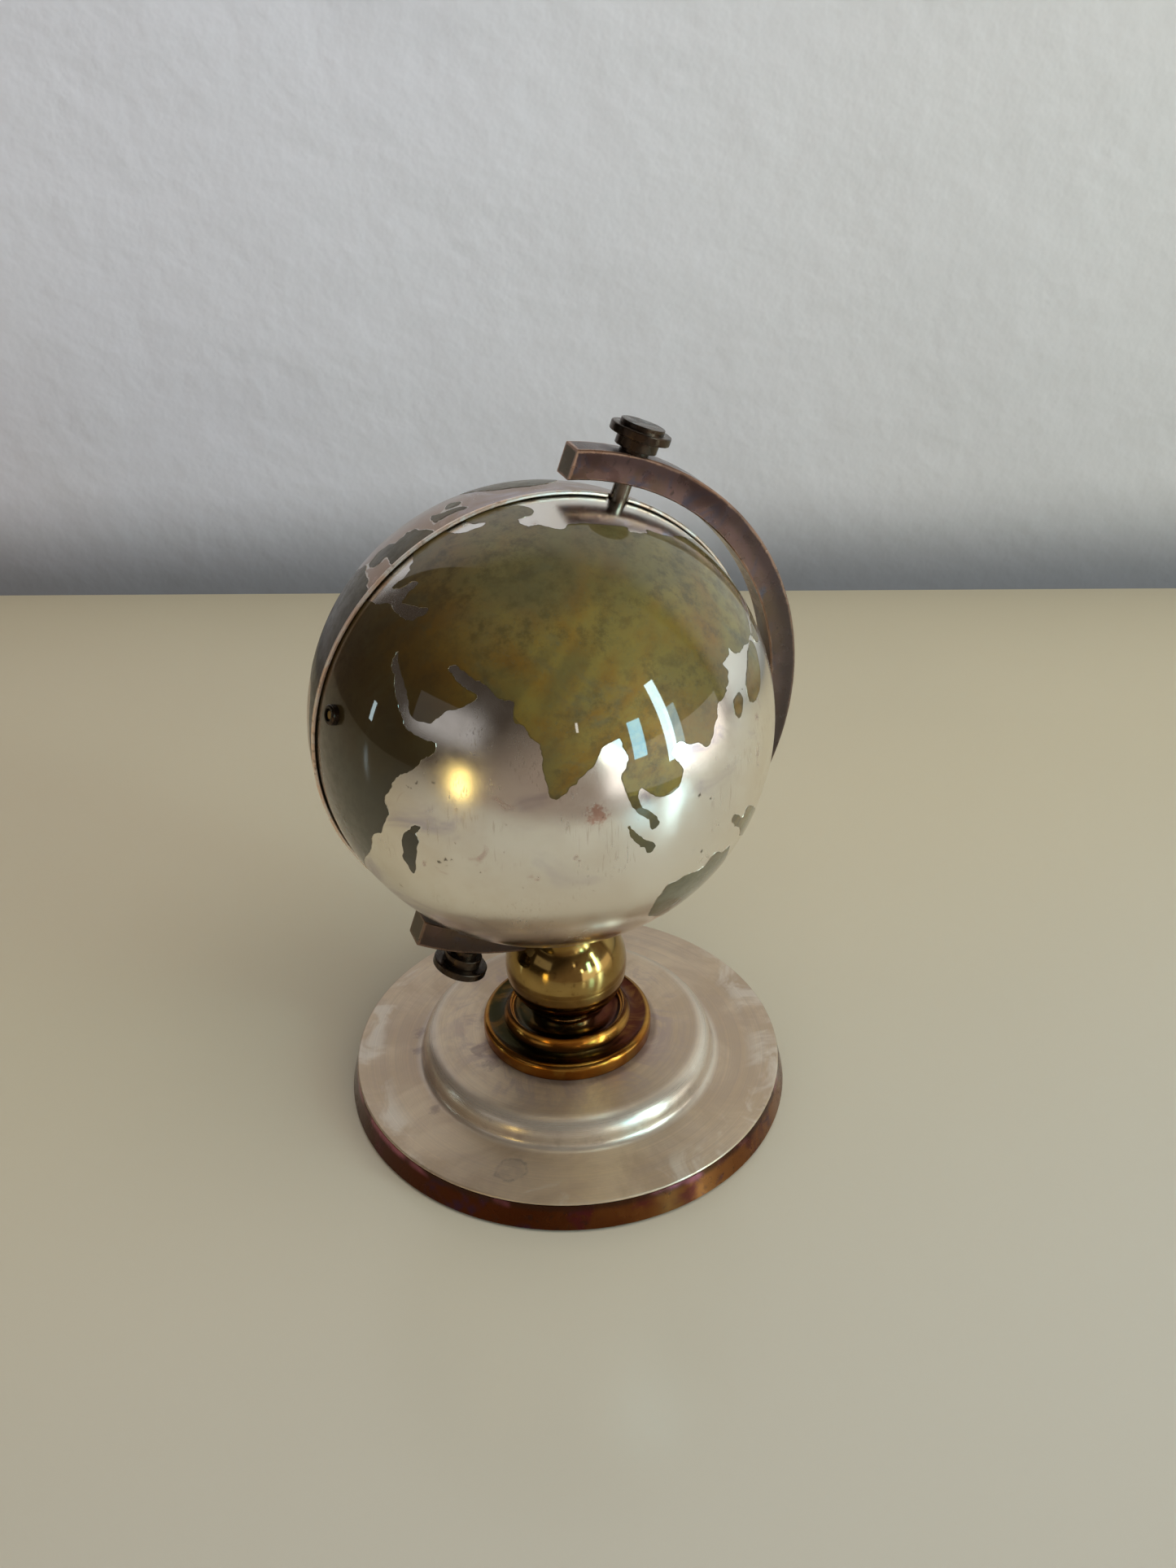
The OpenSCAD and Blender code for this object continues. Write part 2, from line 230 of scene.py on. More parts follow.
def arc(start, end, steps, point):
    """Directions of point(angle) for evenly spaced angles in degrees, both ends included."""
    return [point(math.radians(start + (end - start) * i / steps)) for i in range(steps + 1)]


def ring(rho, radius, end, start=0, stop=360, steps=40):
    """A circle of radius rho round the pole that end names, +1 or -1."""
    s = rho / radius
    c = math.sqrt(1 - s * s) * end

    def point(az):
        return (ARM_MID * math.cos(az) + SIDE * math.sin(az)) * s + NORTH * c

    return arc(start, stop, steps, point)


def front_edge():
    """The front shell's edge: two meridians and a round ear at each pole."""
    top = math.degrees(math.acos(EAR_R / FRONT_R))

    def meridian(az, start, stop):
        return arc(start, stop, 110, lambda lat: on_globe(az - MAP_START, math.degrees(lat)))

    return (
        meridian(180 - TUCK, -top, top)[:-1]
        + ring(EAR_R, FRONT_R, 1, 180 - TUCK, TUCK)[:-1]
        + meridian(TUCK, top, -top)[:-1]
        + ring(EAR_R, FRONT_R, -1, TUCK, 180 - TUCK)[:-1]
    )


def rear_edge():
    """The rear shell's edge: a plane just behind the poles, with a round notch at each pin."""
    y = RIM_W / REAR_R
    flat = math.sqrt(1 - y * y)
    half = math.degrees(math.asin(math.sqrt(NOTCH_R**2 - RIM_W**2) / REAR_R))
    az = math.degrees(math.asin(RIM_W / NOTCH_R))

    def mouth(angle):
        return (ARM_MID * math.cos(angle) + NORTH * math.sin(angle)) * flat + SIDE * y

    return (
        arc(-90 + half, 90 - half, 110, mouth)[:-1]
        + ring(NOTCH_R, REAR_R, 1, az, 180 - az, 16)[:-1]
        + arc(90 + half, 270 - half, 110, mouth)[:-1]
        + ring(NOTCH_R, REAR_R, -1, 180 - az, az, 16)[:-1]
    )


def inside(points, loop):
    """For each 2-D point, whether it lies in the closed loop."""
    hit = np.zeros(len(points), bool)
    x, y = points[:, 0], points[:, 1]
    for (x0, y0), (x1, y1) in zip(loop, np.roll(loop, -1, axis=0)):
        if y0 == y1:
            continue
        crosses = (y0 > y) != (y1 > y)
        hit ^= crosses & (x < (x1 - x0) * (y - y0) / (y1 - y0) + x0)
    return hit


class Flat:
    """Equal-distance map of the globe about one direction, in degrees."""

    def __init__(self, middle):
        self.c, self.e2 = middle, NORTH
        self.e1 = NORTH.cross(middle)

    def down(self, d):
        """The map's point for a direction."""
        angle = self.c.angle(d)
        x, y = d.dot(self.e1), d.dot(self.e2)
        k = math.degrees(angle) / max(math.hypot(x, y), 1e-9)
        return Vector((x * k, y * k))

    def up(self, p):
        """The direction for a point of the map."""
        angle = math.radians(p.length)
        side = self.e1 * p.x + self.e2 * p.y
        side = side.normalized() if side.length > 1e-9 else self.e1
        return self.c * math.cos(angle) + side * math.sin(angle)


def triangulate(flat, edge, holes, lands, seas, spacing=2.0):
    """Triangles of a half shell that follow its edge and its coasts. Returns 2-D points,
    triangles and whether each is land."""
    loops = [[flat.down(d) for d in loop] for loop in [edge, *holes]]
    coasts = [[flat.down(d) for d in coast(outline)] for outline in lands + seas]
    points, edges = [], []
    outline = np.array(loops[0])
    for number, loop in enumerate(loops + coasts):
        keep = np.ones(len(loop), bool)
        if number >= len(loops):
            keep = inside(np.array(loop), outline * 1.01)
        index = {}
        for i, p in enumerate(loop):
            if keep[i] or keep[i - 1] or keep[(i + 1) % len(loop)]:
                index[i] = len(points)
                points.append(p)
        edges += [
            (index[i], index[(i + 1) % len(loop)])
            for i in index
            if (i + 1) % len(loop) in index
        ]
    near = KDTree(len(points))
    for i, p in enumerate(points):
        near.insert((p.x, p.y, 0), i)
    near.balance()
    reach, row = 97, spacing * 0.866
    rows, columns = int(reach / row), int(reach / spacing)
    grid = []
    for j in range(-rows, rows + 1):
        shift = spacing / 2 if j % 2 else 0
        for i in range(-columns, columns + 1):
            p = Vector((i * spacing + shift, j * row))
            if near.find((p.x, p.y, 0))[2] > 0.45 * spacing:
                grid.append(p)
    grid = [p for p, ok in zip(grid, inside(np.array(grid), outline)) if ok]
    verts, _, faces, *_ = delaunay_2d_cdt(points + grid, edges, [], 0, 1e-6)
    xy = np.array(verts)
    tri = np.array([f for f in faces if len(f) == 3])
    mid = xy[tri].mean(axis=1)
    keep = inside(mid, outline)
    for hole in loops[1:]:
        keep &= ~inside(mid, np.array(hole))
    tri, mid = tri[keep], mid[keep]
    land = np.zeros(len(tri), bool)
    for loop in coasts[: len(lands)]:
        land |= inside(mid, np.array(loop))
    for loop in coasts[len(lands) :]:
        land &= ~inside(mid, np.array(loop))
    return verts, tri, land


def shore_distance(flat, verts, lands, seas, radius):
    """Distance in millimetres from each point to the nearest coast."""
    pts = [flat.down(d) for outline in lands + seas for d in coast(outline)]
    tree = KDTree(len(pts))
    for i, p in enumerate(pts):
        tree.insert((p.x, p.y, 0), i)
    tree.balance()
    scale = math.radians(1) * radius / MM
    return [tree.find((v.x, v.y, 0))[2] * scale for v in verts]


def half_shell(name, middle, radius, edge, holes, lands, seas, finishes):
    """A closed half shell whose sea is etched below its land. Faces use finishes land, sea, inside."""
    flat = Flat(middle)
    verts, tri, land = triangulate(flat, edge, holes, lands, seas)
    shore = shore_distance(flat, verts, lands, seas, radius)
    heights = {True: radius, False: radius - ETCH, None: radius - WALL_T}
    ways = [flat.up(v) for v in verts]
    place, shores, index = [], [], {}

    def vertex(i, level):
        if (i, level) not in index:
            index[(i, level)] = len(place)
            place.append(GLOBE + ways[i] * heights[level])
            shores.append(shore[i])
        return index[(i, level)]

    faces, slots, normals, sides = [], [], [], {}

    def add(corners, slot, directions):
        faces.append(corners)
        slots.append(slot)
        normals.extend(directions)

    for t, is_land in zip(tri.tolist(), land.tolist()):
        a, b, c = t
        outward = (ways[b] - ways[a]).cross(ways[c] - ways[a]).dot(ways[a]) > 0
        t = (a, b, c) if outward else (a, c, b)
        add([vertex(i, is_land) for i in t], 0 if is_land else 1, [ways[i] for i in t])
        back = t[::-1]
        add([vertex(i, None) for i in back], 2, [-ways[i] for i in back])
        for i, j in zip(t, t[1:] + t[:1]):
            sides[(i, j)] = is_land
    for (i, j), is_land in list(sides.items()):
        other = sides.get((j, i))
        along = ways[j] - ways[i]
        out = along.cross(ways[i]).normalized()
        if other is None and (j, i) not in sides:
            corners = [vertex(j, is_land), vertex(i, is_land)]
            if is_land and (i, False) in index:
                corners.append(vertex(i, False))
            corners += [vertex(i, None), vertex(j, None)]
            if is_land and (j, False) in index:
                corners.append(vertex(j, False))
            add(corners, 2, [out] * len(corners))
        elif is_land and other is False:
            corners = [vertex(j, True), vertex(i, True), vertex(i, False), vertex(j, False)]
            add(corners, 3, [(out + ways[i] * 0.6).normalized()] * 4)
    mesh = bpy.data.meshes.new(name)
    mesh.from_pydata([tuple(p) for p in place], [], faces)
    for finish in finishes:
        mesh.materials.append(finish)
    mesh.polygons.foreach_set("material_index", slots)
    mesh.polygons.foreach_set("use_smooth", [True] * len(faces))
    layer = mesh.attributes.new("shore", "FLOAT", "POINT")
    layer.data.foreach_set("value", shores)
    mesh.normals_split_custom_set([tuple(n) for n in normals])
    mesh.update()
    piece = bpy.data.objects.new(name, mesh)
    SCENE.collection.objects.link(piece)
    return piece


# ---------------------------------------------------------------- material building


class Finish:
    """A node material in the making: each call adds nodes and gives back an output."""

    def __init__(self, name):
        self.material = bpy.data.materials.new(name)
        self.material.use_nodes = True
        self.tree = self.material.node_tree
        self.shader = self.tree.nodes["Principled BSDF"]
        self.place = self.node("TexCoord").outputs["Object"]

    def node(self, kind, **values):
        made = self.tree.nodes.new("ShaderNode" + kind)
        for key, value in values.items():
            setattr(made, key, value)
        return made

    def put(self, socket, value):
        """Links an output to a socket, or sets the socket's own value."""
        if isinstance(value, bpy.types.NodeSocket):
            self.tree.links.new(value, socket)
        elif isinstance(value, tuple) and len(value) == 3 and socket.type == "RGBA":
            socket.default_value = (*value, 1)
        else:
            socket.default_value = value

    def set(self, **values):
        """Sets the shader's sockets, with spaces written as underscores."""
        for key, value in values.items():
            self.put(self.shader.inputs[key.replace("_", " ")], value)

    def math(self, kind, a, b=0.0):
        made = self.node("Math", operation=kind)
        self.put(made.inputs[0], a)
        self.put(made.inputs[1], b)
        return made.outputs[0]

    def vector(self, kind, a, b=(0.0, 0.0, 0.0)):
        made = self.node("VectorMath", operation=kind)
        self.put(made.inputs[0], a)
        self.put(made.inputs[1], b)
        return made.outputs["Value" if kind in ("LENGTH", "DOT_PRODUCT") else "Vector"]

    def noise(self, scale, detail=4.0, rough=0.55, at=None, warp=0.0):
        made = self.node("TexNoise")
        self.put(made.inputs["Vector"], at or self.place)
        self.put(made.inputs["Scale"], scale)
        self.put(made.inputs["Detail"], detail)
        self.put(made.inputs["Roughness"], rough)
        self.put(made.inputs["Distortion"], warp)
        return made.outputs["Fac"]

    def ramp(self, value, low, high, to=(0.0, 1.0)):
        """A smooth step of value from low to high."""
        made = self.node("MapRange", interpolation_type="SMOOTHSTEP")
        for socket, v in zip(made.inputs, (value, low, high, *to)):
            self.put(socket, v)
        return made.outputs[0]

    def mix(self, factor, a, b):
        """The colour a where factor is 0 and b where it is 1."""
        made = self.node("Mix", data_type="RGBA")
        self.put(made.inputs["Factor"], factor)
        self.put(made.inputs[6], a)
        self.put(made.inputs[7], b)
        return made.outputs[2]

    def bump(self, height, strength, distance=0.05 * MM):
        """Small relief that changes the shading only."""
        made = self.node("Bump")
        self.put(made.inputs["Height"], height)
        self.put(made.inputs["Strength"], strength)
        self.put(made.inputs["Distance"], distance)
        self.put(self.shader.inputs["Normal"], made.outputs[0])

    def scratches(self, turn, scale=2600):
        """Hair scratches, as a mask: short dashes along one direction."""
        mapped = self.node("Mapping")
        self.put(mapped.inputs["Vector"], self.place)
        mapped.inputs["Rotation"].default_value = [math.radians(a) for a in turn]
        mapped.inputs["Scale"].default_value = (1, 1, 0.035)
        dashes = self.ramp(self.noise(scale, 1.0, 0.4, mapped.outputs[0], 0.15), 0.66, 0.70)
        return self.math("MULTIPLY", dashes, self.ramp(self.noise(90, 2.0), 0.48, 0.60))

    def shaken(self, value, amount, *grain, **more):
        """A measure made ragged by that amount of noise. The rest is what noise takes."""
        return self.math("ADD", value, self.math("MULTIPLY", self.noise(*grain, **more), amount))

    def gap(self, value, other):
        """How far value is from other, either way."""
        return self.math("ABSOLUTE", self.math("SUBTRACT", value, other))

    def from_axis(self, x=0.0, y=0.0):
        """Distance from a vertical line: the stand's own axis, or the one through x and y."""
        out = self.place
        if x or y:
            out = self.vector("SUBTRACT", out, (x, y, 0.0))
        return self.vector("LENGTH", self.vector("MULTIPLY", out, (1.0, 1.0, 0.0)))

    def height(self):
        return self.vector("DOT_PRODUCT", self.place, (0.0, 0.0, 1.0))

    def from_place(self, lon, lat, ragged):
        """Distance from a place on the map, made ragged by noise."""
        out = self.vector("SUBTRACT", self.place, tuple(GLOBE + on_globe(lon, lat) * FRONT_R))
        return self.shaken(self.vector("LENGTH", out), ragged, 700, 4, 0.75)

    def lathe_marks(self, pitch):
        """Fine turning rings round the vertical axis, broken up by noise."""
        r = self.math("MULTIPLY", self.from_axis(), 1 / pitch)
        z = self.math("MULTIPLY", self.height(), 1 / pitch)
        joined = self.node("CombineXYZ")
        self.put(joined.inputs[0], r)
        self.put(joined.inputs[1], z)
        return self.noise(1.0, 5.0, 0.7, joined.outputs[0])


# Dark pits in the plate: longitude, latitude and radius
SPECKS = [
    (60, -20, 0.3 * MM), (61.5, -19, 0.2 * MM), (58.5, -21.5, 0.2 * MM), (122, -5, 0.3 * MM),
    (114, 10, 0.3 * MM), (118, 9, 0.15 * MM), (49, -4, 0.15 * MM),
]
# Longitude and latitude of a copper-red flush
FLUSH_AT = (89, 3)


def silver_sea(name, clean, warm, tarnish):
    """Worn silver plate, slightly hazy, with pink and lavender tarnish and scratches, and a painted
    highlight along the coasts.
    """
    f = Finish(name)
    pink, lavender = (0.62, 0.46, 0.42), (0.60, 0.55, 0.60)
    cloud = f.noise(26, 5, 0.6, warp=0.6)
    fine = f.noise(190, 4, 0.6)
    colour = f.mix(f.ramp(cloud, 0.38, 0.66), clean, warm)
    colour = f.mix(f.ramp(f.noise(38, 4, 0.6, warp=1.5), 0.56 - tarnish, 0.74), colour, lavender)
    blot = f.ramp(f.noise(75, 3, 0.6, warp=2.0), 0.66 - tarnish * 0.5, 0.76)
    colour = f.mix(f.math("MULTIPLY", blot, 0.7), colour, pink)
    flush = f.ramp(f.from_place(*FLUSH_AT, 9 * MM), 5.2 * MM, 7.0 * MM, (0.75, 0.0))
    colour = f.mix(flush, colour, (0.66, 0.36, 0.28))
    for lon, lat, size in SPECKS:
        far = f.from_place(lon, lat, 2.6 * MM)
        speck = f.ramp(far, size + 1.1 * MM, size + 1.5 * MM, (0.85, 0.0))
        colour = f.mix(speck, colour, (0.10, 0.08, 0.06))
    spots = f.ramp(f.noise(520, 2, 0.5), 0.72, 0.78)
    colour = f.mix(f.math("MULTIPLY", spots, 0.55), colour, (0.20, 0.15, 0.11))
    shore = f.node("Attribute", attribute_name="shore").outputs["Fac"]
    # Painted highlight: the sea is painted lighter within half a millimetre of each coast, where the
    # etched edge would catch light.
    colour = f.mix(f.ramp(shore, 0.12, 0.5, (0.55, 0.0)), colour, (0.93, 0.89, 0.82))
    lines = f.math("MAXIMUM", f.scratches((20, 35, 10)), f.scratches((70, -20, 60)))
    colour = f.mix(f.math("MULTIPLY", lines, 0.35), colour, (0.55, 0.47, 0.40))
    rough = f.math("ADD", f.ramp(fine, 0.3, 0.75, (0.17, 0.25)), f.math("MULTIPLY", lines, 0.06))
    rough = f.math("ADD", rough, f.math("MULTIPLY", blot, 0.1))
    f.set(Base_Color=colour, Metallic=1.0, Roughness=rough)
    f.bump(f.math("ADD", f.math("MULTIPLY", lines, -0.12), f.math("MULTIPLY", fine, 0.2)), 0.25)
    return f.material


def etched_land(name, coat, tone):
    """Etched and lacquered land: mottled olive, amber and grey-green under a clear gloss, with painted
    shade darkening its left side.
    """
    f = Finish(name)
    olive, amber, slate = (0.190, 0.145, 0.032), (0.190, 0.094, 0.009), (0.092, 0.095, 0.052)
    dark = (0.055, 0.042, 0.016)
    out = f.vector("SUBTRACT", f.place, tuple(GLOBE))
    lofty = f.vector("DOT_PRODUCT", out, tuple(on_globe(25, 60)))
    lofty = f.shaken(lofty, 24 * MM, 70, 4, 0.6)
    colour = f.mix(f.ramp(f.noise(30, 5, 0.62, warp=0.8), 0.44, 0.66), olive, amber)
    grey = f.math("MAXIMUM", f.ramp(lofty, 46 * MM, 62 * MM, (0.0, 0.6)),
                  f.ramp(f.noise(44, 4, 0.6, warp=1.2), 0.54, 0.72, (0.0, 0.8)))
    colour = f.mix(grey, colour, slate)
    shade = f.ramp(f.noise(24, 3, 0.55, warp=1.0), 0.46, 0.62, (0.0, 0.45))
    colour = f.mix(shade, colour, (0.055, 0.050, 0.024))
    grain = f.noise(330, 5, 0.7)
    sooty = f.ramp(f.noise(40, 3), 0.40, 0.62, (0.2, 0.7))
    soot = f.math("MULTIPLY", f.ramp(grain, 0.42, 0.68), sooty)
    colour = f.mix(soot, colour, dark)
    colour = f.mix(f.ramp(f.noise(1500, 2, 0.6), 0.55, 0.75, (0.0, 0.35)), colour, slate)
    # Painted shade: the land is painted darker towards the left, away from the light, and its dark
    # smudges are painted heavier on that side.
    painted_shade_across = f.vector("DOT_PRODUCT", out, (1.0, 0.0, 0.25))
    painted_shade_across = f.shaken(painted_shade_across, 16 * MM, 60, 3)
    colour = f.mix(f.ramp(painted_shade_across, -28 * MM, 8 * MM, (0.85, 0.0)), colour, (0.030, 0.016, 0.003))
    smudge_and_shade = f.ramp(f.noise(48, 5, 0.65, warp=1.4), 0.52, 0.66, (0.0, 0.6))
    smudge_and_shade = f.math("MULTIPLY", smudge_and_shade, f.ramp(painted_shade_across, -6 * MM, 22 * MM, (1.0, 0.15)))
    colour = f.mix(smudge_and_shade, colour, dark)
    south = f.vector("DOT_PRODUCT", out, tuple(NORTH))
    south = f.shaken(south, 14 * MM, 55, 4, 0.6)
    colour = f.mix(f.ramp(south, -6 * MM, 14 * MM, (0.65, 0.0)), colour, (0.034, 0.038, 0.026))
    colour = f.mix(1.0 - tone, colour, (0.020, 0.020, 0.010))
    shore = f.node("Attribute", attribute_name="shore").outputs["Fac"]
    colour = f.mix(f.ramp(shore, 0.05, 0.3, (0.6, 0.0)), colour, dark)
    f.set(Base_Color=colour, Metallic=0.25, Roughness=f.ramp(grain, 0.3, 0.7, (0.34, 0.5)),
          Specular_IOR_Level=0.15, Coat_Weight=coat, Coat_Roughness=0.03, Coat_IOR=1.6)
    lines = f.scratches((40, 15, 80))
    f.bump(f.math("ADD", f.math("MULTIPLY", grain, 0.3), f.math("MULTIPLY", lines, -0.4)), 0.2)
    return f.material


def etched_step():
    """The small bright step down from land to sea."""
    f = Finish("etched_step")
    colour = f.mix(f.ramp(f.noise(400, 3), 0.4, 0.6), (0.75, 0.68, 0.58), (0.42, 0.34, 0.22))
    f.set(Base_Color=colour, Metallic=1.0, Roughness=0.3)
    return f.material


def raw_brass(name="raw_brass_inside"):
    """Unpolished brass with a drawn grain, inside the box and on its fittings."""
    f = Finish(name)
    cloud = f.noise(60, 5, 0.6, warp=0.8)
    colour = f.mix(f.ramp(cloud, 0.35, 0.65), (0.56, 0.40, 0.16), (0.40, 0.26, 0.09))
    colour = f.mix(f.ramp(f.noise(240, 4), 0.58, 0.7, (0.0, 0.6)), colour, (0.20, 0.14, 0.07))
    f.set(Base_Color=colour, Metallic=1.0, Roughness=f.ramp(cloud, 0.3, 0.7, (0.26, 0.4)))
    f.bump(f.noise(700, 4, 0.6), 0.15)
    return f.material


def rim_copper():
    """Bright worn copper with silver left on it."""
    f = Finish("rim_copper_worn")
    worn = f.ramp(f.noise(120, 5, 0.65, warp=1.0), 0.42, 0.6)
    colour = f.mix(worn, (0.90, 0.66, 0.50), (0.95, 0.88, 0.80))
    colour = f.mix(f.ramp(f.noise(420, 3), 0.58, 0.70, (0.0, 0.6)), colour, (0.30, 0.18, 0.11))
    f.set(Base_Color=colour, Metallic=0.8, Roughness=f.ramp(worn, 0, 1, (0.36, 0.48)))
    f.bump(f.noise(500, 4, 0.6), 0.2)
    return f.material


# Radius from the globe's centre at which the arm's bands of wear start, and where its ends are
BAND_IN = REAR_R + 3.35 * MM
ARM_END = -13.4 * MM


def arm_bronze():
    """Plum-brown patina with blue tints, rubbed to copper along the edges and at the tips, with
    painted shade darkening its lower end.
    """
    f = Finish("arm_bronze")
    plum, brown, blue = (0.200, 0.108, 0.092), (0.160, 0.092, 0.054), (0.105, 0.094, 0.130)
    colour = f.mix(f.ramp(f.noise(60, 5, 0.65, warp=1.0), 0.4, 0.62), plum, brown)
    colour = f.mix(f.ramp(f.noise(85, 4, 0.6, warp=1.4), 0.50, 0.64, (0.0, 0.8)), colour, blue)
    ochre = f.ramp(f.noise(48, 4, 0.6, warp=0.6), 0.60, 0.74, (0.0, 0.75))
    colour = f.mix(ochre, colour, (0.22, 0.12, 0.05))
    half_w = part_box("meridian_arm")[1].y
    from_globe = f.vector("SUBTRACT", f.place, tuple(GLOBE))
    out = f.vector("LENGTH", from_globe)
    outer = f.shaken(out, 3.4 * MM, 70, 4, 0.65)
    outer = f.ramp(outer, BAND_IN + 2.6 * MM, BAND_IN + 6.4 * MM, (0.0, 0.8))
    colour = f.mix(outer, colour, (0.055, 0.028, 0.026))
    side = f.math("ABSOLUTE", f.vector("DOT_PRODUCT", f.place, (0.0, 1.0, 0.0)))
    shake = f.math("MULTIPLY", f.math("SUBTRACT", f.noise(260, 4, 0.7), 0.5), 0.9 * MM)
    by_side = f.ramp(f.math("ADD", side, shake), half_w - 0.75 * MM, half_w - 0.25 * MM)
    ragged = f.math("ADD", out, shake)
    edge_out = f.ramp(ragged, BAND_IN + 5.45 * MM, BAND_IN + 5.9 * MM)
    edge_in = f.ramp(ragged, BAND_IN + 0.2 * MM, BAND_IN + 0.65 * MM, (1.0, 0.0))
    across = f.vector("DOT_PRODUCT", from_globe, tuple(ARM_MID))
    at_end = f.ramp(across, ARM_END - 0.05 * MM, ARM_END + 0.05 * MM, (1.0, 0.0))
    colour = f.mix(at_end, colour, (0.095, 0.062, 0.020))
    rubbed = f.math("MAXIMUM", edge_out, edge_in)
    edge = f.math("MULTIPLY", by_side, rubbed)
    end_line = f.math("ADD", across, shake)
    end_line = f.ramp(end_line, ARM_END + 0.2 * MM, ARM_END + 0.6 * MM, (1.0, 0.0))
    end_line = f.math("MULTIPLY", end_line, f.math("SUBTRACT", 1.0, at_end))
    border = f.math("MULTIPLY", at_end, f.math("MAXIMUM", by_side, rubbed))
    edge = f.math("MAXIMUM", edge, f.math("MAXIMUM", end_line, border))
    worn = f.ramp(f.noise(55, 4, 0.6), 0.36, 0.58, (0.25, 0.8))
    colour = f.mix(f.math("MULTIPLY", edge, worn), colour, (0.52, 0.30, 0.20))
    colour = f.mix(f.ramp(f.noise(650, 3), 0.60, 0.72, (0.0, 0.6)), colour, (0.035, 0.025, 0.022))
    rough = f.ramp(f.noise(150, 4), 0.35, 0.65, (0.20, 0.36))
    # Painted shade: the arm is painted darker towards its lower end, under the globe.
    painted_shade_low = f.ramp(f.height(), 92 * MM, 150 * MM, (0.55, 0.0))
    colour = f.mix(painted_shade_low, colour, (0.045, 0.030, 0.020))
    f.set(Base_Color=colour, Metallic=0.9, Roughness=rough, Coat_Weight=0.25, Coat_Roughness=0.2)
    f.bump(f.noise(420, 5, 0.65), 0.3)
    return f.material


def knob_bronze():
    """Nearly black bronze, handled smooth, mottled with brown."""
    f = Finish("knob_bronze")
    black, brown = (0.045, 0.032, 0.024), (0.085, 0.055, 0.036)
    colour = f.mix(f.ramp(f.noise(220, 5, 0.6), 0.42, 0.62), black, brown)
    colour = f.mix(f.ramp(f.noise(90, 3, 0.6), 0.55, 0.68, (0.0, 0.6)), colour, (0.05, 0.052, 0.04))
    f.set(Base_Color=colour, Metallic=0.95, Roughness=f.ramp(f.noise(300, 4), 0.35, 0.65, (0.2, 0.36)))
    f.bump(f.noise(600, 4, 0.6), 0.2)
    return f.material


def pin_steel():
    """Dark polished pin with faint turning marks."""
    f = Finish("pin_steel")
    rings = f.vector("DOT_PRODUCT", f.place, tuple(NORTH / (0.12 * MM)))
    band = f.node("CombineXYZ")
    f.put(band.inputs[0], rings)
    marks = f.noise(1.0, 3, 0.6, band.outputs[0])
    colour = f.mix(f.ramp(f.noise(240, 4), 0.4, 0.65), (0.30, 0.26, 0.21), (0.12, 0.095, 0.07))
    f.set(Base_Color=colour, Metallic=1.0, Roughness=f.ramp(marks, 0.3, 0.7, (0.12, 0.26)))
    f.bump(marks, 0.2, 0.02 * MM)
    return f.material


def ball_brass():
    """Polished brass ball with a little brown toning."""
    f = Finish("ball_polish")
    cloud = f.noise(70, 5, 0.6, warp=0.8)
    colour = f.mix(f.ramp(cloud, 0.38, 0.66), (0.41, 0.27, 0.09), (0.29, 0.175, 0.05))
    colour = f.mix(f.ramp(f.noise(420, 4), 0.60, 0.72, (0.0, 0.6)), colour, (0.14, 0.07, 0.02))
    f.set(Base_Color=colour, Metallic=1.0, Roughness=f.ramp(f.noise(260, 4), 0.3, 0.7, (0.09, 0.17)))
    f.bump(f.noise(800, 3, 0.6), 0.06, 0.02 * MM)
    return f.material


# Radii of the collar's features: its dish, and the flat top between the lip and the rim
DISH_R = 13.4 * MM
LIP_R = 14.6 * MM
RIM_R = 19.8 * MM


def collar_brass():
    """Orange-gold turned brass, dark green to purple patina in its hollows."""
    f = Finish("collar_polish")
    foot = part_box("stem_collar")[0].z
    gold, orange = (0.50, 0.26, 0.055), (0.40, 0.15, 0.022)
    green, plum = (0.030, 0.026, 0.010), (0.090, 0.024, 0.012)
    colour = f.mix(f.ramp(f.noise(90, 4, 0.6, warp=1.0), 0.4, 0.6), gold, orange)
    across = f.vector("DOT_PRODUCT", f.place, (1.0, 0.2, 0.0))
    toned = f.mix(f.ramp(across, -6 * MM, 8 * MM), green, plum)
    r = f.from_axis()
    inner = f.ramp(r, LIP_R, LIP_R + 1.0 * MM)
    outer = f.ramp(r, RIM_R - 0.9 * MM, RIM_R, (1.0, 0.0))
    high = f.ramp(f.height(), foot + 2.6 * MM, foot + 3.4 * MM)
    flat_top = f.math("MULTIPLY", f.math("MULTIPLY", inner, outer), high)
    dish = f.ramp(r, DISH_R - 0.8 * MM, DISH_R, (1.0, 0.0))
    hollow = f.math("MAXIMUM", flat_top, dish)
    patchy = f.ramp(f.noise(130, 5, 0.65, warp=1.2), 0.30, 0.55, (0.78, 1.0))
    colour = f.mix(f.math("MULTIPLY", hollow, patchy), colour, toned)
    low = f.ramp(f.height(), foot, foot + 0.8 * MM, (0.8, 0.0))
    colour = f.mix(low, colour, (0.12, 0.05, 0.03))
    marks = f.lathe_marks(0.10 * MM)
    f.set(Base_Color=colour, Metallic=1.0, Roughness=f.ramp(marks, 0.3, 0.7, (0.14, 0.27)))
    f.bump(marks, 0.15, 0.02 * MM)
    return f.material


def ring_brass():
    """The bright neck ring under the ball."""
    f = Finish("ring_polish")
    colour = f.mix(f.ramp(f.noise(160, 4), 0.4, 0.62), (0.80, 0.42, 0.16), (0.60, 0.28, 0.08))
    f.set(Base_Color=colour, Metallic=1.0, Roughness=f.ramp(f.noise(300, 3), 0.3, 0.7, (0.2, 0.3)))
    f.bump(f.lathe_marks(0.08 * MM), 0.1, 0.02 * MM)
    return f.material


# Radii of the cover's features: the stem's foot, the step's crest and foot, the polished edge
STEM_FOOT_R = 21 * MM
CREST_R = 34.6 * MM
STEP_FOOT_R = 35.4 * MM
BRIGHT_R = 43 * MM
# The mark that a drop left as it dried
RING_MARK_AT = (-27.5 * MM, -34 * MM)
RING_MARK_R = 6.2 * MM
